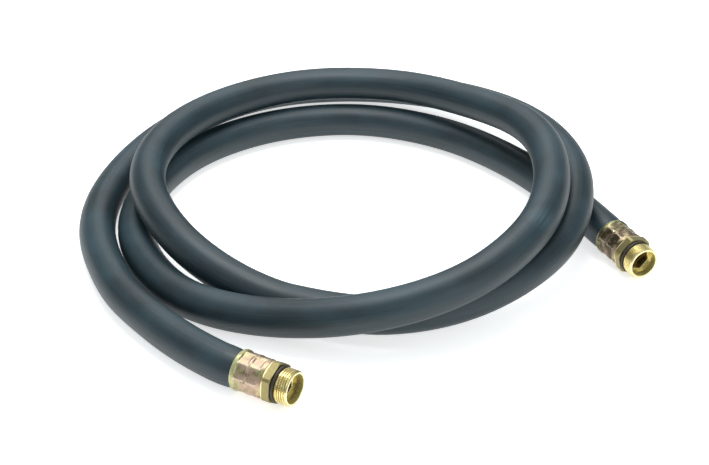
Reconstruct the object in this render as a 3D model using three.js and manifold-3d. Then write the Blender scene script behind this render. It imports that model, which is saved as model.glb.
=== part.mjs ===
// Fuel dispensing hose: four metres of 25 mm bore rubber hose lying in loose loops,
// with a crimped ferrule and a brass male-threaded nipple on each end.
// Millimetres, +Z up. The origin is on the floor under the middle of the whole thing.
import * as THREE from 'three';
import { mergeVertices } from 'three/addons/utils/BufferGeometryUtils.js';
import Module from 'manifold-3d';

// Driving dimensions of the hose.
const HOSE_OUTER_R = 18.5;
const HOSE_BORE_R = 12.5;
const COIL_WIDTH = 541;
const FLOOR_Z = 0;

// Clearance between two pieces that touch in the real hose.
const SEAT_GAP = 0.3;

// Crimped ferrule: a sleeve around the hose end, closed by a lip against the hexagon.
const FERRULE_LENGTH = 32;
const FERRULE_RIM_R = 19.2;
const FERRULE_BODY_R = 18.6;
const FERRULE_NOSE_R = 17.4;
const FERRULE_WALL = 2.1;
const FERRULE_LIP = 1.8;
const RIM_LENGTH = 3;
const RIM_TAPER = 1.5;
const RIM_BREAK = 0.5;
const NOSE_LENGTH = 5;
const NOSE_BREAK = 0.8;
const CRIMP_ROWS = [9.5, 22.2];
const CRIMP_COUNT = 8;
const CRIMP_LENGTH = 9.5;
const CRIMP_WIDTH = 11.4;
const CRIMP_DEPTH = 0.9;

// Brass nipple: tail in the hose, hexagon, seal groove and 1 inch pipe thread.
const TAIL_LENGTH = 30;
const TAIL_TIP_R = 10.6;
const TAIL_TIP_LENGTH = 3;
const NECK_R = 13.5;
const HEX_ACROSS_FLATS = 36;
const HEX_CORNER_R = 20;
const HEX_LENGTH = 9;
const HEX_CHAMFER = 1.2;
const GROOVE_R = 14.4;
const GROOVE_LENGTH = 3.2;
const THREAD_MAJOR_R = 16.62;
const THREAD_MINOR_R = 15.15;
const THREAD_PITCH = 2.309;
const THREAD_TURNS = 5;
const THREAD_LEAD_IN = 1.3;
const THREAD_FLANK = 0.877;
const FACE_OUTER_R = 15.55;
const MOUTH_R = 13.6;
const MOUTH_DEPTH = 9.5;
const SOCKET_ACROSS_FLATS = 20;
const SOCKET_DEPTH = 9;
const NIPPLE_BORE_R = 9.2;

// Black sealing ring between the hexagon and the thread.
const SEAL_OUTER_R = 17.7;

// Angle in radians of a crimp flat and of a hexagon corner about the axis of each end.
const CRIMP_TURN = { a: 0.41, b: 0.53 };
const HEX_TURN = { a: 0.37, b: 0.15 };

// How finely the round forms are drawn.
const ROUND_SIDES = 30;
const SEAL_SIDES = 8;
const HOSE_SIDES = 12;
const HOSE_STEPS = 80;
const ROUTE_SAMPLES = 1600;

// How far a cutting shape reaches past what it cuts.
const CUT_PAST = 2;

// Centre line of the hose, from the cut end inside ferrule b to the one inside ferrule a:
// x and y as shares of the coil's width, z in hose radii above the floor.
const ROUTE = [
  [0.4959, -0.1457, 1.081], [0.4571, -0.0588, 1.041], [0.4182, 0.0281, 1],
  [0.3184, 0.1907, 1], [0.1761, 0.3238, 1], [-0.0050, 0.3885, 1],
  [-0.1936, 0.3552, 1], [-0.3470, 0.2369, 1], [-0.4265, 0.0613, 1],
  [-0.4208, -0.1154, 1], [-0.3253, -0.2854, 1], [-0.1640, -0.3730, 1.378],
  [0.0208, -0.4082, 2.432], [0.1909, -0.3472, 3.189], [0.3129, -0.2196, 4.162],
  [0.3572, -0.0440, 4.568], [0.3351, 0.1316, 4.378], [0.2371, 0.2832, 3.73],
  [0.0781, 0.4033, 3.189], [-0.1178, 0.4181, 3.027], [-0.2879, 0.3257, 3.054],
  [-0.3951, 0.1686, 3.108], [-0.4079, -0.0261, 3.081], [-0.3138, -0.1998, 2.24],
  [-0.1561, -0.2997, 1.027], [0.0319, -0.3509, 1], [0.2094, -0.3083, 1.351],
  [0.3554, -0.1937, 2.378], [0.4109, -0.0126, 3.027], [0.3850, 0.1723, 3.027],
  [0.2919, 0.3559, 2.324], [0.1263, 0.5080, 1.351], [-0.0790, 0.5493, 1],
  [-0.2675, 0.4828, 1], [-0.4135, 0.3220, 1], [-0.4949, 0.1168, 1],
  [-0.5041, -0.0717, 1], [-0.4394, -0.2566, 1], [-0.3747, -0.3472, 1],
  [-0.3110, -0.4192, 1], [-0.2375, -0.4819, 1.038], [-0.1515, -0.5326, 1.081],
].map(([x, y, z]) => new THREE.Vector3(x * COIL_WIDTH, y * COIL_WIDTH, FLOOR_Z + z * HOSE_OUTER_R));

const wasm = await Module();
wasm.setup();

// Turns a closed geometry into a solid that can be cut and joined.
function solidOf(geometry) {
  const bare = geometry.clone();
  bare.deleteAttribute('normal');
  bare.deleteAttribute('uv');
  const merged = mergeVertices(bare, 1e-4);
  return new wasm.Manifold(new wasm.Mesh({
    numProp: 3,
    vertProperties: new Float32Array(merged.attributes.position.array),
    triVerts: new Uint32Array(merged.index.array),
  }));
}

function geometryOf(solid) {
  const mesh = solid.getMesh();
  const geometry = new THREE.BufferGeometry();
  geometry.setAttribute('position', new THREE.BufferAttribute(mesh.vertProperties, 3));
  geometry.setIndex(new THREE.BufferAttribute(mesh.triVerts, 1));
  geometry.computeVertexNormals();
  return geometry;
}

// Profile points are [radius, height]. The turned solid stands on the Z axis.
function turned(profile, sides = ROUND_SIDES) {
  const points = profile.map(([r, z]) => new THREE.Vector2(r, z));
  points.push(points[0].clone());
  const geometry = new THREE.LatheGeometry(points, sides);
  geometry.rotateX(Math.PI / 2);
  return solidOf(geometry);
}

// Hexagonal bar on the Z axis, from z0 to z1, with one corner at the angle given.
function hexagonBar(acrossFlats, turn, z0, z1) {
  const shape = new THREE.Shape();
  const cornerR = acrossFlats / 2 / Math.cos(Math.PI / 6);
  for (let i = 0; i < 6; i += 1) {
    const angle = turn + Math.PI / 3 * i;
    const place = i === 0 ? 'moveTo' : 'lineTo';
    shape[place](cornerR * Math.cos(angle), cornerR * Math.sin(angle));
  }
  const geometry = new THREE.ExtrudeGeometry(shape, { depth: z1 - z0, bevelEnabled: false });
  geometry.translate(0, 0, z0);
  return solidOf(geometry);
}

// Centre line through the route's points, never lower than the hose lying on the floor.
class HoseRoute extends THREE.Curve {
  constructor(points) {
    super();
    this.spline = new THREE.CatmullRomCurve3(points, false, 'catmullrom', 0.5);
    this.arcLengthDivisions = ROUTE_SAMPLES;
  }

  getPoint(t, target = new THREE.Vector3()) {
    this.spline.getPoint(t, target);
    target.z = Math.max(target.z, FLOOR_Z + HOSE_OUTER_R);
    return target;
  }
}

// Positions along a fitting. Zero is the hose's cut end, and plus Z points out of the hose.
const LIP_Z = SEAT_GAP;
const HEX_Z = LIP_Z + FERRULE_LIP + SEAT_GAP;
const GROOVE_Z = HEX_Z + HEX_LENGTH;
const THREAD_Z = GROOVE_Z + GROOVE_LENGTH;
const FACE_Z = THREAD_Z + THREAD_TURNS * THREAD_PITCH + THREAD_LEAD_IN;
const RIM_Z = LIP_Z + FERRULE_LIP - FERRULE_LENGTH;
const GRIP_R = FERRULE_BODY_R - FERRULE_WALL;

function ferruleSolid(end) {
  const noseEnd = LIP_Z + FERRULE_LIP;
  let body = turned([
    [GRIP_R, RIM_Z],
    [FERRULE_RIM_R - RIM_BREAK, RIM_Z],
    [FERRULE_RIM_R, RIM_Z + RIM_BREAK],
    [FERRULE_RIM_R, RIM_Z + RIM_LENGTH],
    [FERRULE_BODY_R, RIM_Z + RIM_LENGTH + RIM_TAPER],
    [FERRULE_BODY_R, noseEnd - NOSE_LENGTH],
    [FERRULE_NOSE_R, noseEnd - NOSE_BREAK],
    [FERRULE_NOSE_R - NOSE_BREAK, noseEnd],
    [NECK_R + SEAT_GAP, noseEnd],
    [NECK_R + SEAT_GAP, LIP_Z],
    [GRIP_R, LIP_Z],
  ]);
  const pitch = 2 * Math.PI / CRIMP_COUNT;
  for (const fromRim of CRIMP_ROWS) {
    for (let i = 0; i < CRIMP_COUNT; i += 1) {
      const height = CRIMP_DEPTH + CUT_PAST;
      const cutter = new THREE.BoxGeometry(height, CRIMP_WIDTH, CRIMP_LENGTH);
      cutter.translate(FERRULE_BODY_R - CRIMP_DEPTH + height / 2, 0, RIM_Z + fromRim);
      cutter.rotateZ(CRIMP_TURN[end] + pitch * i);
      body = body.subtract(solidOf(cutter));
    }
  }
  return body;
}

function threadProfile() {
  const profile = [];
  for (let i = 0; i < THREAD_TURNS; i += 1) {
    const z = THREAD_Z + i * THREAD_PITCH;
    profile.push([THREAD_MINOR_R, z]);
    profile.push([THREAD_MAJOR_R, z + THREAD_FLANK]);
    profile.push([THREAD_MAJOR_R, z + THREAD_PITCH - THREAD_FLANK]);
  }
  profile.push([THREAD_MINOR_R, THREAD_Z + THREAD_TURNS * THREAD_PITCH]);
  return profile;
}

function nippleSolid(end) {
  const tailR = HOSE_BORE_R * Math.cos(Math.PI / HOSE_SIDES) - SEAT_GAP;
  const body = turned([
    [NIPPLE_BORE_R, -TAIL_LENGTH],
    [TAIL_TIP_R, -TAIL_LENGTH],
    [tailR, TAIL_TIP_LENGTH - TAIL_LENGTH],
    [tailR, LIP_Z],
    [NECK_R, LIP_Z],
    [NECK_R, HEX_Z],
    [GROOVE_R, HEX_Z],
    [GROOVE_R, THREAD_Z],
    ...threadProfile(),
    [FACE_OUTER_R, FACE_Z],
    [NIPPLE_BORE_R, FACE_Z],
  ]);
  const chamferedDisc = turned([
    [0, HEX_Z],
    [HEX_CORNER_R - HEX_CHAMFER, HEX_Z],
    [HEX_CORNER_R, HEX_Z + HEX_CHAMFER / 2],
    [HEX_CORNER_R, GROOVE_Z - HEX_CHAMFER / 2],
    [HEX_CORNER_R - HEX_CHAMFER, GROOVE_Z],
    [0, GROOVE_Z],
  ]);
  const bore = turned([
    [0, HEX_Z - CUT_PAST],
    [NIPPLE_BORE_R, HEX_Z - CUT_PAST],
    [NIPPLE_BORE_R, FACE_Z + CUT_PAST],
    [0, FACE_Z + CUT_PAST],
  ]);
  const mouth = turned([
    [0, FACE_Z - MOUTH_DEPTH],
    [MOUTH_R, FACE_Z - MOUTH_DEPTH],
    [MOUTH_R, FACE_Z + CUT_PAST],
    [0, FACE_Z + CUT_PAST],
  ]);
  const socketEnd = FACE_Z - MOUTH_DEPTH - SOCKET_DEPTH;
  const socket = hexagonBar(SOCKET_ACROSS_FLATS, HEX_TURN[end], socketEnd, FACE_Z);
  const collar = hexagonBar(HEX_ACROSS_FLATS, HEX_TURN[end], HEX_Z, GROOVE_Z);
  const hexagon = collar.intersect(chamferedDisc);
  return body.add(hexagon).subtract(bore).subtract(mouth).subtract(socket);
}

function sealSolid() {
  const middle = (GROOVE_Z + THREAD_Z) / 2;
  const innerR = GROOVE_R + SEAT_GAP;
  const sectionR = (SEAL_OUTER_R - innerR) / 2;
  const halfLength = GROOVE_LENGTH / 2 - SEAT_GAP;
  const profile = [];
  for (let i = 0; i < SEAL_SIDES; i += 1) {
    const angle = 2 * Math.PI * i / SEAL_SIDES;
    const r = innerR + sectionR + sectionR * Math.cos(angle);
    profile.push([r, middle + halfLength * Math.sin(angle)]);
  }
  return turned(profile);
}

// The stretch that a ferrule squeezes is thinner than the free hose.
function gripCutter() {
  const innerR = GRIP_R - SEAT_GAP;
  const outerR = FERRULE_RIM_R + HOSE_OUTER_R / 2;
  return turned([
    [innerR, RIM_Z - SEAT_GAP],
    [outerR, RIM_Z - SEAT_GAP],
    [outerR, LIP_Z + CUT_PAST],
    [innerR, LIP_Z + CUT_PAST],
  ]);
}

function ringShape() {
  const shape = new THREE.Shape();
  const hole = new THREE.Path();
  for (let i = 0; i < HOSE_SIDES; i += 1) {
    const angle = 2 * Math.PI * i / HOSE_SIDES;
    const place = i === 0 ? 'moveTo' : 'lineTo';
    shape[place](HOSE_OUTER_R * Math.cos(angle), HOSE_OUTER_R * Math.sin(angle));
    hole[place](HOSE_BORE_R * Math.cos(-angle), HOSE_BORE_R * Math.sin(-angle));
  }
  shape.holes.push(hole);
  return shape;
}

// Where a fitting sits: at the route's end, pointing away from the next point.
function endPlace(end, next) {
  const outward = end.clone().sub(next).normalize();
  const turn = new THREE.Quaternion().setFromUnitVectors(new THREE.Vector3(0, 0, 1), outward);
  return { position: end, quaternion: turn };
}

function placedSolid(solid, place) {
  const matrix = new THREE.Matrix4();
  matrix.compose(place.position, place.quaternion, new THREE.Vector3(1, 1, 1));
  return solid.transform(matrix.elements);
}

const END_PLACES = {
  a: endPlace(ROUTE[ROUTE.length - 1], ROUTE[ROUTE.length - 2]),
  b: endPlace(ROUTE[0], ROUTE[1]),
};

function hoseSolid() {
  const tube = new THREE.ExtrudeGeometry(ringShape(), {
    steps: HOSE_STEPS,
    extrudePath: new HoseRoute(ROUTE),
    curveSegments: 1,
  });
  let hose = solidOf(tube);
  for (const place of Object.values(END_PLACES)) {
    hose = hose.subtract(placedSolid(gripCutter(), place));
  }
  return hose;
}

const RUBBER = new THREE.MeshStandardMaterial({ color: 0x2c3437, roughness: 0.55, metalness: 0 });
const PLATED = new THREE.MeshStandardMaterial({ color: 0xc9a98a, roughness: 0.35, metalness: 0.9 });
const BRASS = new THREE.MeshStandardMaterial({ color: 0xb79a55, roughness: 0.3, metalness: 1 });
const SEAL = new THREE.MeshStandardMaterial({ color: 0x14120f, roughness: 0.6, metalness: 0 });

const group = new THREE.Group();

function addMesh(name, solid, material, place) {
  const mesh = new THREE.Mesh(geometryOf(solid), material);
  mesh.name = name;
  if (place) {
    mesh.position.copy(place.position);
    mesh.quaternion.copy(place.quaternion);
  }
  group.add(mesh);
}

addMesh('hose', hoseSolid(), RUBBER);
for (const [end, place] of Object.entries(END_PLACES)) {
  addMesh(`ferrule_${end}`, ferruleSolid(end), PLATED, place);
  addMesh(`nipple_${end}`, nippleSolid(end), BRASS, place);
  addMesh(`seal_${end}`, sealSolid(), SEAL, place);
}

export default group;
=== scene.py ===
"""Looks of a fuel dispensing hose: thick black rubber hose in loose loops with a crimped brass screw end on
each side. Lengths are metres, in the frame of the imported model."""

import logging
import math
from dataclasses import dataclass
from enum import Enum

import bmesh
import bpy
from mathutils import Matrix, Vector

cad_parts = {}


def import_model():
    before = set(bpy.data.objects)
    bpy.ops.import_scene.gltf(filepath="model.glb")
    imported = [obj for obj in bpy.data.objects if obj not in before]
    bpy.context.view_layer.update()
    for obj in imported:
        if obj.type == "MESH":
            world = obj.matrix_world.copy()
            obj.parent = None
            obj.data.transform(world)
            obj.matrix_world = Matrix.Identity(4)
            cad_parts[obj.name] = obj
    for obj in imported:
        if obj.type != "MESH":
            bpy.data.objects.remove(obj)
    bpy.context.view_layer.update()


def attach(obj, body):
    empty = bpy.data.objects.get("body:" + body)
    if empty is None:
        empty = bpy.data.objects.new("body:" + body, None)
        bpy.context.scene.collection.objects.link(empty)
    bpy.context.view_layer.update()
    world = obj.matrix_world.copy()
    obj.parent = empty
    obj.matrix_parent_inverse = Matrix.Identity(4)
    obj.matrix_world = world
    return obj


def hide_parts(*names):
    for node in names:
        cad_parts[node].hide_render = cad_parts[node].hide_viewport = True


LOG = logging.getLogger("hose")
BODY = "root"
MM = 0.001
FULL_TURN = 2.0 * math.pi
HOSE_DIAMETER = 37.0 * MM

# Centre line of the hose, from the cut end inside ferrule b to the one inside ferrule a.
ROUTE = [
    (0.2683, -0.0788, 0.0200), (0.2473, -0.0318, 0.0193), (0.2262, 0.0152, 0.0185),
    (0.1723, 0.1032, 0.0185), (0.0953, 0.1752, 0.0185), (-0.0027, 0.2102, 0.0185),
    (-0.1047, 0.1922, 0.0185), (-0.1877, 0.1282, 0.0185), (-0.2307, 0.0332, 0.0185),
    (-0.2277, -0.0624, 0.0185), (-0.1760, -0.1544, 0.0185), (-0.0887, -0.2018, 0.0255),
    (0.0113, -0.2208, 0.0450), (0.1033, -0.1878, 0.0590), (0.1693, -0.1188, 0.0770),
    (0.1932, -0.0238, 0.0845), (0.1813, 0.0712, 0.0810), (0.1283, 0.1532, 0.0690),
    (0.0423, 0.2182, 0.0590), (-0.0637, 0.2262, 0.0560), (-0.1558, 0.1762, 0.0565),
    (-0.2137, 0.0912, 0.0575), (-0.2207, -0.0141, 0.0570), (-0.1698, -0.1081, 0.0414),
    (-0.0845, -0.1621, 0.0190), (0.0173, -0.1898, 0.0185), (0.1133, -0.1668, 0.0250),
    (0.1923, -0.1048, 0.0440), (0.2223, -0.0068, 0.0560), (0.2083, 0.0932, 0.0560),
    (0.1579, 0.1925, 0.0430), (0.0683, 0.2748, 0.0250), (-0.0427, 0.2972, 0.0185),
    (-0.1447, 0.2612, 0.0185), (-0.2237, 0.1742, 0.0185), (-0.2677, 0.0632, 0.0185),
    (-0.2727, -0.0388, 0.0185), (-0.2377, -0.1388, 0.0185), (-0.2027, -0.1878, 0.0185),
    (-0.1683, -0.2268, 0.0185), (-0.1285, -0.2607, 0.0192), (-0.0820, -0.2881, 0.0200),
]


class Slot(Enum):
    """The record's material slots."""

    HOSE = "hose_rubber"
    SLEEVE = "plated_steel"
    BRASS = "brass"
    SEAL = "seal_rubber"


class Desk:
    """Places and joins shader nodes in one node tree."""

    def __init__(self, tree: bpy.types.NodeTree) -> None:
        """Keeps the tree that the nodes go into.

        Args:
            tree: a material's or a group's node tree.
        """
        self.tree = tree

    def put(self, kind: str, settings: dict | None = None, **sockets: object) -> bpy.types.Node:
        """Adds one node and fills its inputs.

        Args:
            kind: the node's type name.
            settings: attributes of the node itself, such as its operation.
            sockets: its inputs, as fill takes them.

        Returns:
            The new node.
        """
        node = self.tree.nodes.new(kind)
        for name, value in (settings or {}).items():
            setattr(node, name, value)
        self.fill(node, **sockets)
        return node

    def fill(self, node: bpy.types.Node, **sockets: object) -> None:
        """Fills a node's inputs.

        Args:
            node: the node.
            sockets: values or output sockets, by input name with _ for a blank, or _0, _1 for an index.
        """
        for name, value in sockets.items():
            place = int(name[1:]) if name[1:].isdigit() else name.replace("_", " ")
            if isinstance(value, bpy.types.NodeSocket):
                self.tree.links.new(value, node.inputs[place])
            else:
                node.inputs[place].default_value = value

    def math(self, operation: str, a: object, b: object = 0.0, clamp: bool = False) -> bpy.types.NodeSocket:
        """Adds a Math node.

        Args:
            operation: the node's operation.
            a: first number or socket.
            b: second number or socket.
            clamp: keeps the result from 0 to 1.

        Returns:
            The result's socket.
        """
        settings = {"operation": operation, "use_clamp": clamp}
        return self.put("ShaderNodeMath", settings, _0=a, _1=b).outputs[0]

    def noise(
        self, vector: object, scale: object, detail: float = 3.0, rough: float = 0.55
    ) -> bpy.types.NodeSocket:
        """Adds a Noise texture.

        Args:
            vector: coordinates.
            scale: size of the noise, as a number or socket.
            detail: number of finer layers.
            rough: strength of the finer layers.

        Returns:
            The noise's value socket.
        """
        node = self.put("ShaderNodeTexNoise", Vector=vector, Scale=scale, Detail=detail, Roughness=rough)
        return node.outputs["Fac"]

    def spread(
        self, value: object, low: float, high: float, to_low: float = 0.0, to_high: float = 1.0
    ) -> bpy.types.NodeSocket:
        """Maps a value's range onto another, held at its ends.

        Args:
            value: number or socket.
            low: where the range starts.
            high: where the range ends.
            to_low: result at low.
            to_high: result at high.

        Returns:
            The result's socket.
        """
        ends = {"From_Min": low, "From_Max": high, "To_Min": to_low, "To_Max": to_high}
        return self.put("ShaderNodeMapRange", Value=value, **ends).outputs[0]

    def blend(self, share: object, a: object, b: object) -> bpy.types.NodeSocket:
        """Mixes two colours.

        Args:
            share: how much of b shows.
            a: first colour or socket.
            b: second colour or socket.

        Returns:
            The mixed colour's socket.
        """
        return self.put("ShaderNodeMix", {"data_type": "RGBA"}, _0=share, _6=a, _7=b).outputs[2]

    def mark(self, name: str) -> bpy.types.NodeSocket:
        """Reads one of the piece's own attributes.

        Args:
            name: the attribute's name.

        Returns:
            Its value's socket.
        """
        return self.put("ShaderNodeAttribute", {"attribute_name": name}).outputs["Fac"]

    def effect(self, group: bpy.types.NodeTree, **sockets: object) -> bpy.types.Node:
        """Places a shared effect.

        Args:
            group: the effect.
            sockets: its inputs.

        Returns:
            The group node.
        """
        return self.put("ShaderNodeGroup", {"node_tree": group}, **sockets)

    def bump(self, shader: bpy.types.Node, strength: float, distance: float, height: object) -> None:
        """Gives a shader a small relief.

        Args:
            shader: the Principled node.
            strength: how strongly it shows.
            distance: its depth in metres.
            height: the relief from 0 to 1.
        """
        node = self.put("ShaderNodeBump", Strength=strength, Distance=distance, Height=height)
        self.fill(shader, Normal=node.outputs["Normal"])

    def ramp(self, value: object, stops: list[tuple[float, tuple]]) -> bpy.types.NodeSocket:
        """Adds a colour ramp.

        Args:
            value: number or socket from 0 to 1.
            stops: places and colours along it.

        Returns:
            The colour socket.
        """
        node = self.put("ShaderNodeValToRGB", Fac=value)
        bar = node.color_ramp.elements
        while len(bar) < len(stops):
            bar.new(0.5)
        for element, (place, colour) in zip(bar, stops):
            element.position = place
            element.color = colour
        return node.outputs["Color"]


def tone(red: int, green: int, blue: int) -> tuple[float, float, float, float]:
    """Turns a screen colour from 0 to 255 into the linear colour that shaders use.

    Args:
        red: red part.
        green: green part.
        blue: blue part.

    Returns:
        The linear colour with full alpha.
    """

    def straight(part: int) -> float:
        """Undoes the screen curve of one part."""
        share = part / 255.0
        return share / 12.92 if share <= 0.04045 else ((share + 0.055) / 1.055) ** 2.4

    return straight(red), straight(green), straight(blue), 1.0


class SharedEffects:
    """Shader groups that more than one finish uses."""

    def __init__(self) -> None:
        """Builds every group once."""
        self.dust = self._settled_dust()
        self.grain = self._fine_grain()
        self.wear_and_painted_light = self._rubbed_and_lit_edges()

    @staticmethod
    def _start(
        name: str, numbers: dict[str, float], results: tuple[str, ...]
    ) -> tuple[bpy.types.NodeTree, Desk, bpy.types.Node, bpy.types.Node]:
        """Makes an empty group that takes coordinates and numbers and gives numbers.

        Args:
            name: the group's name.
            numbers: names and default values of the numbers it takes.
            results: names of the numbers it gives.

        Returns:
            The group, a desk on it, its input node and its output node.
        """
        group = bpy.data.node_groups.new(name, "ShaderNodeTree")
        group.interface.new_socket("Vector", in_out="INPUT", socket_type="NodeSocketVector")
        for label, value in numbers.items():
            socket = group.interface.new_socket(label, in_out="INPUT", socket_type="NodeSocketFloat")
            socket.default_value = value
        for label in results:
            group.interface.new_socket(label, in_out="OUTPUT", socket_type="NodeSocketFloat")
        desk = Desk(group)
        return group, desk, group.nodes.new("NodeGroupInput"), group.nodes.new("NodeGroupOutput")

    def _settled_dust(self) -> bpy.types.NodeTree:
        """Pale film that lies on upward faces in soft patches."""
        group, desk, given, result = self._start(
            "settled_dust", {"Patch Scale": 14.0, "Amount": 0.3}, ("Mask",)
        )
        normal = desk.put("ShaderNodeNewGeometry").outputs["Normal"]
        upward = desk.put("ShaderNodeSeparateXYZ", Vector=normal).outputs["Z"]
        facing = desk.spread(upward, 0.1, 0.95)
        patches = desk.noise(given.outputs["Vector"], given.outputs["Patch Scale"], 5.0, 0.5)
        cloud = desk.spread(patches, 0.38, 0.72)
        lying = desk.math("MULTIPLY", facing, cloud)
        desk.fill(result, Mask=desk.math("MULTIPLY", lying, given.outputs["Amount"], clamp=True))
        return group

    def _fine_grain(self) -> bpy.types.NodeTree:
        """Small unevenness of a surface, as a height from 0 to 1."""
        group, desk, given, result = self._start(
            "fine_grain", {"Grain Scale": 900.0, "Swell Scale": 60.0}, ("Height", "Mottle")
        )
        fine = desk.noise(given.outputs["Vector"], given.outputs["Grain Scale"], 4.0, 0.5)
        broad = desk.noise(given.outputs["Vector"], given.outputs["Swell Scale"], 3.0, 0.5)
        height = desk.math("ADD", desk.math("MULTIPLY", fine, 0.4), desk.math("MULTIPLY", broad, 0.6))
        desk.fill(result, Height=height, Mottle=desk.spread(broad, 0.3, 0.7))
        return group

    def _rubbed_and_lit_edges(self) -> bpy.types.NodeTree:
        """Mask of bright edges, from a piece's own edge attribute broken up by noise: worn edges, and on the
        brass also painted light and a painted highlight.
        """
        group, desk, given, result = self._start(
            "rubbed_and_lit_edges", {"Edge": 0.0, "Break Up": 0.5, "Break Scale": 500.0}, ("Mask",)
        )
        rough = desk.noise(given.outputs["Vector"], given.outputs["Break Scale"], 4.0, 0.5)
        loss = desk.math("MULTIPLY", rough, given.outputs["Break Up"])
        kept = desk.math("SUBTRACT", given.outputs["Edge"], loss)
        desk.fill(result, Mask=desk.spread(kept, 0.0, 0.45))
        return group


@dataclass(frozen=True)
class Finish:
    """What every finish has: its name and the shared effects."""

    name: str
    effects: SharedEffects

    def open(self) -> tuple[bpy.types.Material, Desk, bpy.types.Node, bpy.types.NodeSocket]:
        """Starts a material.

        Returns:
            The material, a desk on its tree, its Principled node and the object coordinates.
        """
        material = bpy.data.materials.new(self.name)
        material.use_nodes = True
        desk = Desk(material.node_tree)
        shader = material.node_tree.nodes["Principled BSDF"]
        place = desk.put("ShaderNodeTexCoord").outputs["Object"]
        return material, desk, shader, place


@dataclass(frozen=True)
class HoseRubber(Finish):
    """Slate black hose cover with faint lengthwise streaks, handling marks and a little dust."""

    dark: tuple = tone(8, 25, 30)
    light: tuple = tone(25, 48, 56)
    scuff: tuple = tone(84, 112, 124)
    dust: tuple = tone(86, 120, 134)
    smudge_place: tuple = (0.1693, -0.1305, 0.0905)
    smudge_core: float = 3.0 * MM
    smudge_reach: float = 17.0 * MM
    smudge_share: float = 0.34
    rubbed_share: float = 0.22
    gloss_range: tuple = (0.43, 0.54)

    def build(self) -> bpy.types.Material:
        """Makes the material. The piece's UV map runs round the hose and along it in metres."""
        material, desk, shader, place = self.open()
        strip = desk.put("ShaderNodeUVMap", {"uv_map": "round_and_along"}).outputs["UV"]
        parts = desk.put("ShaderNodeSeparateXYZ", Vector=strip)
        turn = desk.math("MULTIPLY", parts.outputs["X"], FULL_TURN)
        side = desk.math("COSINE", turn)
        rise = desk.math("SINE", turn)
        along = parts.outputs["Y"]

        def sleeve(width: float, run: float) -> bpy.types.NodeSocket:
            """Coordinates on the cover, stretched along it by its two scales."""
            return desk.put(
                "ShaderNodeCombineXYZ",
                X=desk.math("MULTIPLY", side, width),
                Y=desk.math("MULTIPLY", rise, width),
                Z=desk.math("MULTIPLY", along, run),
            ).outputs[0]

        streaks = desk.noise(sleeve(7.0, 3.0), 1.0, 4.0, 0.6)
        fine_streaks = desk.noise(sleeve(26.0, 14.0), 1.0, 3.0, 0.6)
        clouds = desk.noise(sleeve(1.6, 16.0), 1.0, 4.0, 0.6)
        marks = desk.noise(sleeve(11.0, 30.0), 1.0, 6.0, 0.7)
        grain = desk.effect(self.effects.grain, Vector=place, Grain_Scale=1400.0, Swell_Scale=160.0)
        dust = desk.effect(self.effects.dust, Vector=place, Patch_Scale=17.0, Amount=0.2)

        shade = desk.math("ADD", desk.math("MULTIPLY", streaks, 0.55), desk.math("MULTIPLY", clouds, 0.45))
        cover = desk.blend(desk.spread(shade, 0.36, 0.64), self.dark, self.light)
        rubbed = desk.math("MULTIPLY", desk.spread(marks, 0.62, 0.74), self.rubbed_share)
        reach = desk.put("ShaderNodeVectorMath", {"operation": "DISTANCE"}, _0=place, _1=self.smudge_place)
        near = desk.spread(reach.outputs["Value"], self.smudge_core, self.smudge_reach, self.smudge_share, 0.0)
        smudge = desk.math("MULTIPLY", near, desk.spread(marks, 0.35, 0.6))
        marked = desk.blend(desk.math("MAXIMUM", rubbed, smudge), cover, self.scuff)
        film = desk.blend(dust.outputs["Mask"], marked, self.dust)

        gloss = desk.spread(fine_streaks, 0.3, 0.7, *self.gloss_range)
        duller = desk.math("MULTIPLY", desk.math("ADD", rubbed, dust.outputs["Mask"]), 0.35)
        rough = desk.math("ADD", gloss, duller, clamp=True)
        height = desk.math("ADD", grain.outputs["Height"], desk.math("MULTIPLY", fine_streaks, 0.7))
        desk.bump(shader, 0.22, 0.25 * MM, height)
        desk.fill(shader, Base_Color=film, Roughness=rough, Specular_IOR_Level=0.55)
        return material


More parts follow.
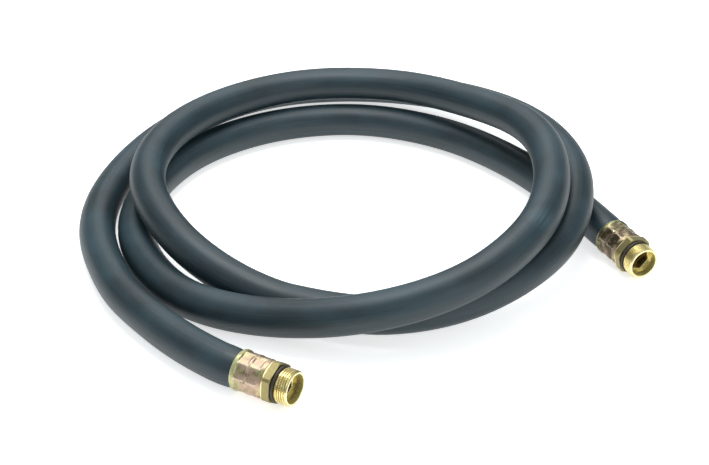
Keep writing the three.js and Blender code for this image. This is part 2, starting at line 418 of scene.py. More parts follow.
@dataclass(frozen=True)
class PassivatedSteel(Finish):
    """Yellow-passivated ferrule: pinkish gold with green tints, bright pressed edges and a painted dark olive
    reflection in the crimp hollows.
    """

    gold: tuple = tone(176, 158, 128)
    pink: tuple = tone(194, 162, 146)
    green: tuple = tone(186, 196, 130)
    # olive: a tint in the random ramp, and also the painted dark reflection in the crimp hollows
    olive: tuple = tone(128, 122, 92)
    bare: tuple = tone(240, 234, 214)
    grime: tuple = tone(70, 63, 42)
    grimed: float = 0.3
    rough_range: tuple = (0.38, 0.5)
    marks: tuple = ("edge", "hollow", "rimward")

    def build(self) -> bpy.types.Material:
        """Makes the material. The piece has the attributes that marks names."""
        material, desk, shader, place = self.open()
        edge, hollow, rimward = map(desk.mark, self.marks)
        broad = desk.noise(place, 95.0, 3.0, 0.6)
        second = desk.noise(place, 170.0, 4.0, 0.6)
        fine = desk.noise(place, 900.0, 3.0, 0.6)
        tint = desk.ramp(
            desk.spread(broad, 0.32, 0.68),
            [(0.0, self.olive), (0.3, self.gold), (0.62, self.pink), (1.0, self.gold)],
        )
        green_share = desk.math("MULTIPLY", desk.spread(second, 0.5, 0.66), 0.45)
        near_rim = desk.math("MULTIPLY", rimward, desk.spread(broad, 0.35, 0.6, 0.35, 0.95))
        tinted = desk.blend(desk.math("MAXIMUM", green_share, near_rim), tint, self.green)
        # Painted reflection: the crimp hollows are darkened towards olive.
        pressed = desk.blend(desk.math("MULTIPLY", hollow, 0.18), tinted, self.olive)
        blotches = desk.noise(place, 120.0, 5.0, 0.65)
        stains = desk.spread(blotches, 0.62 - 0.3 * self.grimed, 0.74 - 0.2 * self.grimed)
        stained = desk.blend(desk.math("MULTIPLY", stains, 0.5 + 0.4 * self.grimed), pressed, self.grime)
        worn = desk.effect(self.effects.wear_and_painted_light, Vector=place, Edge=edge, Break_Up=0.6, Break_Scale=700.0)
        bright = desk.blend(desk.math("MULTIPLY", worn.outputs["Mask"], 0.8), stained, self.bare)
        base = desk.spread(fine, 0.3, 0.7, *self.rough_range)
        rough = desk.math("SUBTRACT", base, desk.math("MULTIPLY", worn.outputs["Mask"], 0.06))
        grain = desk.effect(self.effects.grain, Vector=place, Grain_Scale=1500.0, Swell_Scale=260.0)
        desk.bump(shader, 0.6, 0.5 * MM, grain.outputs["Height"])
        desk.fill(shader, Base_Color=bright, Roughness=rough, Metallic=0.92)
        return material


@dataclass(frozen=True)
class TurnedBrass(Finish):
    """Brass: bright where it is freshly turned, dull olive on the hexagon, with painted shade that darkens it
    deep in the bore, an olive tint painted on the mouth wall as light, and painted light on the inner step and
    the hexagon's rear chamfer arc.
    """

    bright: tuple = tone(214, 196, 132)
    pale: tuple = tone(236, 224, 174)
    dull: tuple = tone(136, 126, 88)
    # painted shade: brown for the bore deep below the mouth's step
    painted_bore_shade: tuple = tone(132, 96, 42)
    # painted light: olive tint that makes the mouth wall look lit
    inner: tuple = tone(196, 188, 112)
    # painted highlight: pale band on the hexagon's rear chamfer arc, fading out from 0.9 to 1.9 mm in front of
    # its rear face
    rear_chamfer_highlight: tuple = (0.9 * MM, 1.9 * MM)
    lathe_pitch: float = 0.35 * MM
    rough_range: tuple = (0.42, 0.24)
    metal_range: tuple = (0.95, 0.45)
    marks: tuple = ("fresh", "edge", "depth", "inside", "lathe", "from_rear")

    def build(self) -> bpy.types.Material:
        """Makes the material. The piece has the attributes that marks names."""
        material, desk, shader, place = self.open()
        fresh, edge, depth, inside, lathe, from_rear = map(desk.mark, self.marks)
        cloud = desk.noise(place, 260.0, 4.0, 0.6)
        spots = desk.noise(place, 1100.0, 3.0, 0.6)
        turned = desk.blend(desk.spread(cloud, 0.35, 0.7), self.bright, self.pale)
        aged = desk.blend(desk.spread(spots, 0.35, 0.65, 0.0, 0.3), self.dull, self.bright)
        skin = desk.blend(fresh, aged, turned)
        # Painted highlight on the hexagon's rear chamfer arc.
        rear = desk.spread(from_rear, *self.rear_chamfer_highlight, 1.0, 0.0)
        # Rims: worn edges, painted light on the inner step and a painted highlight on the hexagon's rear
        # chamfer arc.
        rims = desk.math("MAXIMUM", edge, rear)
        worn = desk.effect(self.effects.wear_and_painted_light, Vector=place, Edge=rims, Break_Up=0.5, Break_Scale=900.0)
        shiny = desk.blend(worn.outputs["Mask"], skin, self.pale)
        # Painted light: the mouth wall takes an olive tint, and further down less metal, so that it looks lit.
        painted_lit_walls = desk.blend(desk.math("MULTIPLY", inside, 0.7), shiny, self.inner)
        # Painted shade: the bore darkens towards brown from 4 to 11 mm below the mouth's step.
        deep = desk.blend(desk.math("MULTIPLY", depth, 0.85), painted_lit_walls, self.painted_bore_shade)
        base = desk.spread(fresh, 0.0, 1.0, *self.rough_range)
        uneven = desk.math("MULTIPLY", desk.spread(spots, 0.3, 0.7), 0.08)
        rough = desk.math("ADD", base, uneven)
        rings = desk.math("SINE", desk.math("MULTIPLY", lathe, FULL_TURN / self.lathe_pitch))
        grain = desk.effect(self.effects.grain, Vector=place, Grain_Scale=1800.0, Swell_Scale=400.0)
        height = desk.math("ADD", grain.outputs["Height"], desk.math("MULTIPLY", rings, 0.12))
        desk.bump(shader, 0.2, 0.15 * MM, height)
        metal = desk.spread(inside, 0.0, 1.0, *self.metal_range)
        desk.fill(shader, Base_Color=deep, Roughness=rough, Metallic=metal)
        return material


@dataclass(frozen=True)
class SealRubber(Finish):
    """Soft black sealing ring with a faint moulded sheen."""

    black: tuple = tone(27, 23, 17)
    greasy: tuple = tone(62, 54, 37)
    dust: tuple = tone(120, 116, 104)
    rough_range: tuple = (0.42, 0.58)

    def build(self) -> bpy.types.Material:
        """Makes the material."""
        material, desk, shader, place = self.open()
        grain = desk.effect(self.effects.grain, Vector=place, Grain_Scale=1600.0, Swell_Scale=300.0)
        dust = desk.effect(self.effects.dust, Vector=place, Patch_Scale=120.0, Amount=0.12)
        colour = desk.blend(grain.outputs["Mottle"], self.black, self.greasy)
        dusty = desk.blend(dust.outputs["Mask"], colour, self.dust)
        rough = desk.spread(grain.outputs["Mottle"], 0.0, 1.0, *self.rough_range)
        desk.bump(shader, 0.25, 0.2 * MM, grain.outputs["Height"])
        desk.fill(shader, Base_Color=dusty, Roughness=rough)
        return material


def smooth_step(value: float, low: float, high: float) -> float:
    """Soft step from 0 at low to 1 at high.

    Args:
        value: where it is read.
        low: start of the step.
        high: end of the step.

    Returns:
        The step's height.
    """
    share = min(1.0, max(0.0, (value - low) / (high - low)))
    return share * share * (3.0 - 2.0 * share)


def finish_mesh(
    form: bmesh.types.BMesh, name: str, material: bpy.types.Material, sharp: float = 0.6
) -> bpy.types.Object:
    """Turns a bmesh into a smooth object at the origin.

    Args:
        form: the shape, which is freed.
        name: the object's name.
        material: its finish.
        sharp: angle in radians past which an edge stays sharp.

    Returns:
        The object, riding on the body.
    """
    mesh = bpy.data.meshes.new(name)
    form.to_mesh(mesh)
    form.free()
    mesh.shade_smooth()
    mesh.set_sharp_from_angle(angle=sharp)
    mesh.materials.append(material)
    piece = bpy.data.objects.new(name, mesh)
    bpy.context.scene.collection.objects.link(piece)
    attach(piece, BODY)
    return piece


def spun(profile: list[tuple[float, float]], rows: list[int], steps: int) -> bmesh.types.BMesh:
    """Turns a closed profile of radius and height about the Z axis.

    Args:
        profile: its corners, in order.
        rows: cuts to make in the side that starts at each corner.
        steps: sides round the turning.

    Returns:
        The turned shape, with its faces outwards.
    """
    form = bmesh.new()
    corners = [form.verts.new((radius, 0.0, height)) for radius, height in profile]
    sides = [form.edges.new((corners[i], corners[(i + 1) % len(corners)])) for i in range(len(corners))]
    for side, cuts in zip(sides, rows):
        if cuts:
            bmesh.ops.subdivide_edges(form, edges=[side], cuts=cuts)
    bmesh.ops.spin(
        form,
        geom=form.verts[:] + form.edges[:],
        cent=(0.0, 0.0, 0.0),
        axis=(0.0, 0.0, 1.0),
        dvec=(0.0, 0.0, 0.0),
        angle=FULL_TURN,
        steps=steps,
        use_merge=True,
        use_duplicate=False,
    )
    bmesh.ops.remove_doubles(form, verts=form.verts[:], dist=1e-6)
    bmesh.ops.recalc_face_normals(form, faces=form.faces[:])
    return form


@dataclass
class HoseRun:
    """The hose itself: one tube along the route, with its bore open from end to end."""

    outer_r: float = HOSE_DIAMETER / 2
    bore_r: float = 12.5 * MM
    gripped_r: float = 16.2 * MM
    grip_length: float = 29.9 * MM
    swell_length: float = 9.0 * MM
    straight_run: float = 66.0 * MM
    ring_gap: float = 9.0 * MM
    sides: int = 48
    samples: int = 40
    smoothing: int = 8

    def centre_line(self) -> list[Vector]:
        """Evenly spaced points on the spline through the route, never lower than the floor allows."""
        knots = [Vector(p) for p in ROUTE]
        knots = [knots[0] * 2 - knots[1], *knots, knots[-1] * 2 - knots[-2]]
        dense: list[Vector] = []
        for i in range(1, len(knots) - 2):
            before, start, end, after = knots[i - 1 : i + 3]
            leave, arrive = (end - before) / 2, (after - start) / 2
            for k in range(self.samples):
                t = k / self.samples
                point = (
                    start * (2 * t**3 - 3 * t**2 + 1)
                    + leave * (t**3 - 2 * t**2 + t)
                    + end * (3 * t**2 - 2 * t**3)
                    + arrive * (t**3 - t**2)
                )
                dense.append(point)
        dense.append(knots[-2])
        even = self._evenly(dense)
        for _ in range(self.smoothing):
            even = self._softened(even)
        for point in even:
            point.z = max(point.z, self.outer_r)
        return even

    def _evenly(self, dense: list[Vector]) -> list[Vector]:
        """Spaces points evenly along a line.

        Args:
            dense: the line's points.

        Returns:
            Points about one ring gap apart.
        """
        steps = [0.0]
        for a, b in zip(dense, dense[1:]):
            steps.append(steps[-1] + (b - a).length)
        count = round(steps[-1] / self.ring_gap)
        found, k = [], 0
        for i in range(count + 1):
            place = steps[-1] * i / count
            while k < len(dense) - 2 and steps[k + 1] < place:
                k += 1
            share = (place - steps[k]) / (steps[k + 1] - steps[k])
            found.append(dense[k].lerp(dense[k + 1], min(1.0, share)))
        return found

    def _softened(self, line: list[Vector]) -> list[Vector]:
        """Evens out the bend, leaving the straight runs at both ends alone.

        Args:
            line: the centre line's points.

        Returns:
            The smoother line.
        """
        held = round(self.straight_run / self.ring_gap)
        soft = [p.copy() for p in line]
        for i in range(held, len(line) - held):
            soft[i] = line[i] * 0.5 + (line[i - 1] + line[i + 1]) * 0.25
        return soft

    def radius_at(self, place: float, total: float) -> float:
        """Outer radius of the hose, which narrows where a ferrule grips it.

        Args:
            place: distance from the first cut end.
            total: whole length.

        Returns:
            The radius there.
        """
        inward = min(place, total - place)
        free = smooth_step(inward, self.grip_length - 2.5 * MM, self.grip_length + self.swell_length)
        return self.gripped_r + (self.outer_r - self.gripped_r) * min(1.0, free * 1.02)

    def build(self, material: bpy.types.Material) -> tuple[bpy.types.Object, list[Vector]]:
        """Sweeps the tube.

        Args:
            material: the hose's finish.

        Returns:
            The hose and its centre line.
        """
        line = self.centre_line()
        frames = self._frames(line)
        total = sum((b - a).length for a, b in zip(line, line[1:]))
        form = bmesh.new()
        uv = form.loops.layers.uv.new("round_and_along")
        last = len(line) - 1
        stations = [(i, self.radius_at(total * i / last, total)) for i in range(last + 1)]
        stations += [(i, self.bore_r) for i in range(last, -1, -1)]
        places = [self._station(frames, *station) for station in stations]
        rows = len(stations)
        bmesh.ops.create_grid(form, x_segments=self.sides, y_segments=rows, size=1.0)

        def spot(vert: bmesh.types.BMVert) -> tuple[float, int]:
            """Turn round the hose and row of a corner of the flat grid, which runs from -1 to 1."""
            return (vert.co.x + 1.0) / 2.0, round((vert.co.y + 1.0) / 2.0 * rows) % rows

        for face in form.faces:
            for loop in face.loops:
                turn, row = spot(loop.vert)
                loop[uv].uv = (turn, total * stations[row][0] / last)
        for vert in form.verts:
            turn, row = spot(vert)
            angle = FULL_TURN * round(turn * self.sides) / self.sides
            vert.co = places[row] @ Vector((math.cos(angle), math.sin(angle), 0.0))
        bmesh.ops.remove_doubles(form, verts=form.verts[:], dist=1e-6)
        bmesh.ops.recalc_face_normals(form, faces=form.faces[:])
        piece = finish_mesh(form, "rubber_hose", material, sharp=1.0)
        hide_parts("hose")
        return piece, line

    @staticmethod
    def _frames(line: list[Vector]) -> list[Matrix]:
        """Frames along the line that don't twist about it.

        Args:
            line: the centre line's points.

        Returns:
            One frame for each point.
        """
        count = len(line)
        tangents = [(line[min(i + 1, count - 1)] - line[max(i - 1, 0)]).normalized() for i in range(count)]
        side = tangents[0].cross(Vector((0.0, 0.0, 1.0))).normalized()
        frames = []
        for i, tangent in enumerate(tangents):
            if i:
                side = tangents[i - 1].rotation_difference(tangent) @ side
            side = (side - tangent * side.dot(tangent)).normalized()
            frame = Matrix((side, tangent.cross(side), tangent)).transposed().to_4x4()
            frame.translation = line[i]
            frames.append(frame)
        return frames

    @staticmethod
    def _station(frames: list[Matrix], index: int, radius: float) -> Matrix:
        """Where a ring of radius one goes at one point of the line.

        Args:
            frames: the line's frames.
            index: which of its points.
            radius: the ring's real radius.

        Returns:
            The ring's place and size.
        """
        return frames[index] @ Matrix.Diagonal((radius, radius, 1.0, 1.0))


@dataclass
class Coupling:
    """One crimped screw end. Zero is the hose's cut end and plus Z points out of the hose."""

    end: str
    cut_end: Vector
    outward: Vector
    crimp_turn: float
    hexagon_turn: float
    lip_z: float = 0.3 * MM
    ferrule_length: float = 32.0 * MM
    ferrule_lip: float = 1.8 * MM
    ferrule_wall: float = 2.1 * MM
    rim_r: float = 19.2 * MM
    body_r: float = 18.6 * MM
    nose_r: float = 17.4 * MM
    neck_r: float = 13.5 * MM
    seat_gap: float = 0.3 * MM
    tail_length: float = 30.0 * MM
    tail_r: float = 11.75 * MM
    tail_tip_r: float = 10.6 * MM
    hexagon_flats: float = 36.0 * MM
    hexagon_corner_r: float = 20.0 * MM
    hexagon_length: float = 9.0 * MM
    hexagon_chamfer: float = 1.2 * MM
    groove_r: float = 14.4 * MM
    groove_length: float = 3.2 * MM
    thread_major_r: float = 16.62 * MM
    thread_minor_r: float = 15.15 * MM
    thread_pitch: float = 2.309 * MM
    thread_turns: int = 5
    thread_flank: tuple = (0.10, 0.38)
    thread_run_in: float = 1.4 * MM
    thread_run_out: tuple = (-0.5 * MM, 1.0 * MM)
    thread_last: float = 0.12
    lead_in: float = 1.3 * MM
    face_r: float = 15.8 * MM
    mouth_r: float = 13.6 * MM
    mouth_depth: float = 9.5 * MM
    socket_flats: float = 20.0 * MM
    socket_depth: float = 9.0 * MM
    socket_ring: float = 0.9 * MM
    socket_flare: float = 1.0 * MM
    bore_r: float = 9.2 * MM
    seal_r: float = 17.7 * MM
    seal_corners: int = 20
    seal_roundness: float = 0.8
    crimp_count: int = 8
    crimp_press: float = 1.0 * MM
    crimp_rows: tuple = ((4.4 * MM, 14.3 * MM), (17.5 * MM, 27.2 * MM))
    crimp_corner: float = 0.45 * MM
    crimp_blend: float = 0.5 * MM
    ridge_width: float = 1.0 * MM
    ridge_dent: float = 0.12 * MM
    waist_height: float = 15.9 * MM
    waist_depth: float = 0.2 * MM
    rim_length: float = 3.0 * MM
    rim_taper: float = 1.5 * MM
    nose_length: float = 5.0 * MM
    tail_taper: float = 3.0 * MM
    rows_per_turn: int = 12
    steps: int = 144

    def __post_init__(self) -> None:
        """Works out the positions along the coupling and its place in the frame."""
        self.hexagon_z = self.lip_z + self.ferrule_lip + self.seat_gap
        self.groove_z = self.hexagon_z + self.hexagon_length
        self.thread_z = self.groove_z + self.groove_length
        self.thread_end_z = self.thread_z + self.thread_turns * self.thread_pitch
        self.face_z = self.thread_end_z + self.lead_in
        self.step_z = self.face_z - self.mouth_depth
        self.socket_z = self.step_z - self.socket_depth
        self.socket_r = self.bore_r + self.socket_ring
        self.rim_z = self.lip_z + self.ferrule_lip - self.ferrule_length
        turn = Vector((0.0, 0.0, 1.0)).rotation_difference(self.outward)
        self.place = Matrix.Translation(self.cut_end) @ turn.to_matrix().to_4x4()

    def _settle(self, form: bmesh.types.BMesh) -> None:
        """Moves a finished shape to its place on the hose's end.

        Args:
            form: the shape.
        """
        bmesh.ops.transform(form, matrix=self.place, verts=form.verts[:])

    def _pressed(self, angle: float, height: float) -> tuple[float, float, float]:
        """How the two rows of eight jaws shaped the sleeve at one place.

        Args:
            angle: angle round the sleeve.
            height: distance from the rim.

        Returns:
            The change of radius, the mask of pressed edges and the mask of hollows.
        """
        pitch = FULL_TURN / self.crimp_count
        local = (angle - self.crimp_turn + pitch / 2) % pitch - pitch / 2
        from_ridge = (pitch / 2 - abs(local)) * self.body_r
        flat = (self.body_r - self.crimp_press) / math.cos(local) - self.body_r
        ridge = math.exp(-((from_ridge / self.ridge_width) ** 2))
        rounded = min(flat, self.crimp_corner) - self.ridge_dent * ridge
        change, edge, hollow = 0.0, 0.0, 0.0
        for low, high in self.crimp_rows:
            inside = smooth_step(height, low - self.crimp_blend, low + self.crimp_blend)
            inside *= 1.0 - smooth_step(height, high - self.crimp_blend, high + self.crimp_blend)
            change += inside * rounded
            hollow += inside * smooth_step(-rounded, 0.1 * MM, 0.9 * MM)
            ends = sum(math.exp(-(((height - z) / (0.6 * MM)) ** 2)) for z in (low, high))
            edge += ends * 0.35 + ridge * inside * 0.5
        waist = math.exp(-(((height - self.waist_height) / (0.9 * MM)) ** 2)) * self.waist_depth
        return change - waist, min(1.0, edge), min(1.0, hollow)

    def build_ferrule(self, material: bpy.types.Material) -> bpy.types.Object:
        """Makes the crimped sleeve.

        Args:
            material: its finish.

        Returns:
            The sleeve.
        """
        top = self.lip_z + self.ferrule_lip
        inner = self.body_r - self.ferrule_wall
        profile = [
            (inner, self.rim_z + 0.4 * MM),
            (inner + 0.4 * MM, self.rim_z),
            (self.rim_r - 0.7 * MM, self.rim_z),
            (self.rim_r - 0.2 * MM, self.rim_z + 0.2 * MM),
            (self.rim_r, self.rim_z + 0.7 * MM),
            (self.rim_r, self.rim_z + self.rim_length),
            (self.body_r, self.rim_z + self.rim_length + self.rim_taper),
            (self.body_r, top - self.nose_length),
            (self.nose_r + 0.5 * MM, top - 2.4 * MM),
            (self.nose_r, top - 0.8 * MM),
            (self.nose_r - 0.8 * MM, top),
            (self.neck_r + self.seat_gap, top),
            (self.neck_r + self.seat_gap, self.lip_z),
            (inner, self.lip_z),
        ]
        rows = [0, 2, 0, 0, 4, 3, 44, 6, 3, 1, 2, 1, 2, 6]
        form = spun(profile, rows, self.steps)
        edge, hollow, rimward = map(form.verts.layers.float.new, PassivatedSteel.marks)
        for vert in form.verts:
            radius = math.hypot(vert.co.x, vert.co.y)
            height = vert.co.z - self.rim_z
            outside = smooth_step(radius, inner + 0.15 * MM, inner + 0.6 * MM)
            change, edges, hollows = self._pressed(math.atan2(vert.co.y, vert.co.x), height)
            scale = 1.0 + outside * change / max(radius, inner)
            vert.co.x *= scale
            vert.co.y *= scale
            lip = math.exp(-((height / (0.9 * MM)) ** 2))
            vert[edge] = min(1.0, outside * edges + 0.9 * lip)
            # hollow: the crimp pockets, which the finish darkens with a painted reflection
            vert[hollow] = outside * hollows
            vert[rimward] = 1.0 - smooth_step(height, 1.5 * MM, 7.5 * MM)
        self._settle(form)
        piece = finish_mesh(form, f"crimped_sleeve_{self.end}", material, sharp=0.75)
        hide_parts(f"ferrule_{self.end}")
        return piece

    @staticmethod
    def _hexagon_r(angle: float, flats: float, turn: float) -> float:
        """Distance from the axis to a hexagon's side.

        Args:
            angle: direction from the axis.
            flats: size across the flats.
            turn: where one corner points.

        Returns:
            The distance.
        """
        sixth = FULL_TURN / 6
        local = (angle - turn) % sixth - sixth / 2
        return flats / 2 / math.cos(local)

    def _tooth(self, height: float, angle: float) -> float:
        """Radius of the screw thread at one place of its cylinder.

        Args:
            height: distance from where the thread starts.
            angle: angle round the thread.

        Returns:
            The radius there.
        """
        length = self.thread_turns * self.thread_pitch
        phase = (height / self.thread_pitch - angle / FULL_TURN) % 1.0
        rise = smooth_step(0.5 - abs(phase - 0.5), *self.thread_flank)
        fade_in = smooth_step(height, 0.0, self.thread_run_in)
        fade_out = 1.0 - smooth_step(height - length, *self.thread_run_out)
        depth = (self.thread_major_r - self.thread_minor_r) * rise
        return self.thread_minor_r + depth * fade_in * max(self.thread_last, fade_out)

    def build_nipple(self, material: bpy.types.Material) -> bpy.types.Object:
        """Makes the brass turning: tail, hexagon, seal groove, thread, mouth, wrench socket and bore.

        Args:
            material: its finish.

        Returns:
            The nipple.
        """
        chamfer = self.hexagon_chamfer
        profile = [
            (self.bore_r, -self.tail_length),
            (self.tail_tip_r, -self.tail_length),
            (self.tail_r, -self.tail_length + self.tail_taper),
            (self.tail_r, self.lip_z),
            (self.neck_r, self.lip_z),
            (self.neck_r, self.hexagon_z),
            (self.hexagon_corner_r - 1.7 * chamfer, self.hexagon_z),
            (self.hexagon_corner_r, self.hexagon_z + chamfer),
            (self.hexagon_corner_r, self.groove_z - chamfer / 2),
            (self.hexagon_corner_r - chamfer, self.groove_z),
            (self.groove_r, self.groove_z),
            (self.groove_r, self.thread_z),
            *self._thread_rows(),
            (self.face_r, self.face_z - 0.6 * MM),
            (self.face_r - 0.35 * MM, self.face_z),
            (self.mouth_r + 0.25 * MM, self.face_z),
            (self.mouth_r, self.face_z - 0.25 * MM),
            (self.mouth_r, self.step_z),
            (self.socket_r + self.socket_flare, self.step_z),
            (self.socket_r, self.step_z - 0.5 * MM),
            (self.socket_r, self.socket_z),
            (self.bore_r, self.socket_z - 0.2 * MM),
        ]
        form = spun(profile, [0] * len(profile), self.steps)
        self._shape_socket(form)
        self._shape_thread(form)
        self._cut_hexagon(form)
        bmesh.ops.recalc_face_normals(form, faces=form.faces[:])
        self._mark_brass(form)
        self._settle(form)
        piece = finish_mesh(form, f"brass_nipple_{self.end}", material, sharp=0.3)
        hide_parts(f"nipple_{self.end}")
        return piece

    def _thread_rows(self) -> list[tuple[float, float]]:
        """Corners of the profile along the thread."""
        count = self.thread_turns * self.rows_per_turn
        rise = (self.thread_end_z - self.thread_z) / count
        return [(self.thread_minor_r, self.thread_z + rise * i) for i in range(count + 1)]

    def _shape_socket(self, form: bmesh.types.BMesh) -> None:
        """Moves the rings of the wrench socket onto their hexagon.

        Args:
            form: the turned nipple.
        """
        for vert in form.verts:
            radius = math.hypot(vert.co.x, vert.co.y)
            deep = self.socket_z - 0.05 * MM < vert.co.z < self.step_z + 0.05 * MM
            if deep and self.bore_r + 0.3 * MM < radius < self.mouth_r - 0.3 * MM:
                angle = math.atan2(vert.co.y, vert.co.x)
                wanted = self._hexagon_r(angle, self.socket_flats, self.hexagon_turn)
                wanted = min(wanted + (radius - self.socket_r) * 0.4, self.mouth_r - 0.6 * MM)
                vert.co.x *= wanted / radius
                vert.co.y *= wanted / radius

    def _shape_thread(self, form: bmesh.types.BMesh) -> None:
        """Raises the helical thread out of its cylinder.

        Args:
            form: the turned nipple.
        """
        for vert in form.verts:
            radius = math.hypot(vert.co.x, vert.co.y)
            height = vert.co.z - self.thread_z
            on_core = abs(radius - self.thread_minor_r) < 0.02 * MM
            if on_core and -0.01 * MM < height < self.thread_end_z - self.thread_z + 0.01 * MM:
                wanted = self._tooth(height, math.atan2(vert.co.y, vert.co.x))
                vert.co.x *= wanted / radius
                vert.co.y *= wanted / radius

    def _cut_hexagon(self, form: bmesh.types.BMesh) -> None:
        """Mills the six flats off the collar and closes each cut.

        Args:
            form: the turned nipple.
        """
        for side in range(6):
            angle = self.hexagon_turn + FULL_TURN * (side + 0.5) / 6
            outward = Vector((math.cos(angle), math.sin(angle), 0.0))
            cut = bmesh.ops.bisect_plane(
                form,
                geom=form.verts[:] + form.edges[:] + form.faces[:],
                dist=1e-7,
                plane_co=outward * (self.hexagon_flats / 2),
                plane_no=outward,
                clear_outer=True,
                clear_inner=False,
            )
            rim = [g for g in cut["geom_cut"] if isinstance(g, bmesh.types.BMEdge)]
            bmesh.ops.contextual_create(form, geom=rim)

    def _mark_brass(self, form: bmesh.types.BMesh) -> None:
        """Stores the values that the brass finish reads at each corner.

        Args:
            form: the finished nipple.
        """
        fresh, edge, depth, within, lathe, rear = map(form.verts.layers.float.new, TurnedBrass.marks)
        for vert in form.verts:
            radius = math.hypot(vert.co.x, vert.co.y)
            z = vert.co.z
            outer = radius > self.groove_r - 0.5 * MM
            inside = radius < self.mouth_r + 0.2 * MM
            on_hexagon = outer and z < self.groove_z + 0.1 * MM
            painted_lit_step = inside and abs(z - self.step_z) < 0.7 * MM and radius < self.mouth_r - 0.3 * MM
            on_wall = abs(radius - self.mouth_r) < 0.2 * MM
            crest = smooth_step(radius, self.thread_major_r - 0.5 * MM, self.thread_major_r)
            mouth = math.exp(-(((z - self.face_z) / (0.7 * MM)) ** 2))
            vert[fresh] = 0.0 if on_hexagon else 1.0
            # edge: worn thread crests and mouth rim, plus painted light on the inner step
            vert[edge] = min(1.0, 0.45 * crest * (1 - on_hexagon) + 0.6 * mouth + 0.7 * painted_lit_step)
            # depth: painted shade, rising from 4 to 11 mm below the mouth's step inside the bore
            vert[depth] = smooth_step(self.step_z - z, 4.0 * MM, 11.0 * MM) if inside else 0.0
            # inside: the mouth wall, which the finish paints with a lit olive tint
            vert[within] = float(on_wall and self.step_z + 0.1 * MM < z < self.face_z - 0.1 * MM)
            vert[lathe] = z + radius * 0.3
            # from_rear: distance in front of the hexagon's rear face, read for the painted highlight on its
            # rear chamfer arc
            vert[rear] = z - self.hexagon_z

    def build_seal(self, material: bpy.types.Material) -> bpy.types.Object:
        """Makes the sealing ring in the groove behind the thread.

        Args:
            material: its finish.

        Returns:
            The ring.
        """
        inner = self.groove_r + 0.05 * MM
        section = (self.seal_r - inner) / 2
        half = self.groove_length / 2 - 0.1 * MM
        middle = (self.groove_z + self.thread_z) / 2
        profile = []
        for i in range(self.seal_corners):
            angle = FULL_TURN * i / self.seal_corners
            out, up = (
                math.copysign(abs(share) ** self.seal_roundness, share)
                for share in (math.cos(angle), math.sin(angle))
            )
            profile.append((inner + section + section * out, middle + half * up))
        form = spun(profile, [0] * len(profile), self.steps)
        self._settle(form)
        piece = finish_mesh(form, f"seal_ring_{self.end}", material, sharp=1.2)
        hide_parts(f"seal_{self.end}")
        return piece


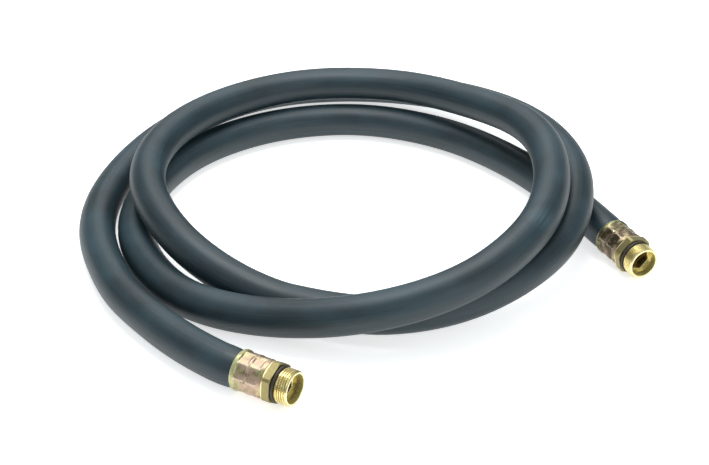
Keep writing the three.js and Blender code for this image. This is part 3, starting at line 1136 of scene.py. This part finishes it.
@dataclass
class Studio:
    """The camera at the photograph's angle, a pale floor and large soft lights."""

    camera_place: tuple = (-0.007, -1.248, 0.772)
    camera_pitch: float = math.radians(58.0)
    lens: float = 70.22
    sensor_width: float = 36.0
    floor_side: float = 12.0
    floor_tones: tuple = (tone(248, 248, 247), tone(252, 252, 252))
    floor_glow: float = 0.62
    world_tones: tuple = ((0.25, 0.29, 0.31, 1.0), (0.88, 0.97, 1.0, 1.0))
    world_light: float = 0.6
    aim: tuple = (0.0, 0.0, 0.03)
    soft_boxes: tuple = (
        ("key", (-0.15, 0.35, 1.9), 1.1, 28.0),
        ("back", (-0.1, 1.9, 1.5), 1.8, 12.0),
        ("fill", (-1.5, -1.2, 1.3), 1.6, 2.0),
        ("right", (1.3, -1.5, 0.8), 1.0, 7.0),
    )

    def place_camera(self) -> None:
        """Makes the scene's camera."""
        data = bpy.data.cameras.new("camera")
        data.lens = self.lens
        data.sensor_width = self.sensor_width
        camera = bpy.data.objects.new("camera", data)
        camera.location = self.camera_place
        camera.rotation_euler = (self.camera_pitch, 0.0, 0.0)
        bpy.context.scene.collection.objects.link(camera)
        bpy.context.scene.camera = camera
        bpy.context.scene.view_settings.view_transform = "Standard"

    def lay_floor(self) -> None:
        """Makes the plain pale floor."""
        form = bmesh.new()
        bmesh.ops.create_grid(form, x_segments=4, y_segments=4, size=self.floor_side / 2)
        mesh = bpy.data.meshes.new("floor")
        form.to_mesh(mesh)
        form.free()
        material = bpy.data.materials.new("pale_floor")
        material.use_nodes = True
        desk = Desk(material.node_tree)
        shader = material.node_tree.nodes["Principled BSDF"]
        place = desk.put("ShaderNodeTexCoord").outputs["Object"]
        cloud = desk.noise(place, 3.0, 3.0)
        paper = desk.blend(desk.spread(cloud, 0.3, 0.7), *self.floor_tones)
        desk.fill(
            shader,
            Base_Color=paper,
            Roughness=0.75,
            Specular_IOR_Level=0.25,
            Emission_Color=(1.0, 1.0, 1.0, 1.0),
            Emission_Strength=self.floor_glow,
        )
        mesh.materials.append(material)
        floor = bpy.data.objects.new("floor", mesh)
        bpy.context.scene.collection.objects.link(floor)

    def light(self) -> None:
        """Sets the world's light and the soft boxes."""
        world = bpy.data.worlds.new("studio")
        world.use_nodes = True
        back = world.node_tree.nodes["Background"]
        desk = Desk(world.node_tree)
        way = desk.put("ShaderNodeTexCoord").outputs["Generated"]
        height = desk.put("ShaderNodeSeparateXYZ", Vector=way).outputs["Z"]
        shade = desk.blend(desk.spread(height, 0.0, 0.75), *self.world_tones)
        desk.fill(back, Color=shade, Strength=self.world_light)
        bpy.context.scene.world = world
        for box in self.soft_boxes:
            self._soft_box(*box)

    def _soft_box(self, name: str, place: tuple, side: float, watts: float) -> None:
        """Hangs one square light that faces the hose.

        Args:
            name: the light's name.
            place: where it hangs.
            side: length of its sides.
            watts: its power.
        """
        data = bpy.data.lights.new(name, "AREA")
        data.shape = "SQUARE"
        data.size = side
        data.energy = watts
        lamp = bpy.data.objects.new(name, data)
        lamp.location = place
        toward = Vector(self.aim) - Vector(place)
        lamp.rotation_euler = toward.to_track_quat("-Z", "Y").to_euler()
        bpy.context.scene.collection.objects.link(lamp)


def main() -> None:
    """Builds the dressed hose in order and logs each piece."""
    logging.basicConfig(level=logging.INFO, format="%(message)s")
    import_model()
    studio = Studio()
    studio.place_camera()
    effects = SharedEffects()
    hose, line = HoseRun().build(HoseRubber("hose_cover", effects).build())
    LOG.info("made %s", hose.name)
    sleeves = {
        "a": PassivatedSteel("passivated_steel_a", effects).build(),
        "b": PassivatedSteel("passivated_steel_b", effects, grimed=1.0).build(),
    }
    brass = TurnedBrass("turned_brass", effects).build()
    rubber = SealRubber("seal_rubber", effects).build()
    last, before_last = Vector(ROUTE[-1]), Vector(ROUTE[-2])
    first, second = Vector(ROUTE[0]), Vector(ROUTE[1])
    ends = [
        Coupling("a", last, (last - before_last).normalized(), crimp_turn=0.41, hexagon_turn=0.37),
        Coupling("b", first, (first - second).normalized(), crimp_turn=0.53, hexagon_turn=0.15),
    ]
    for coupling in ends:
        pieces = [
            coupling.build_ferrule(sleeves[coupling.end]),
            coupling.build_nipple(brass),
            coupling.build_seal(rubber),
        ]
        for piece in pieces:
            LOG.info("made %s", piece.name)
    studio.lay_floor()
    studio.light()


if __name__ == "__main__":
    main()
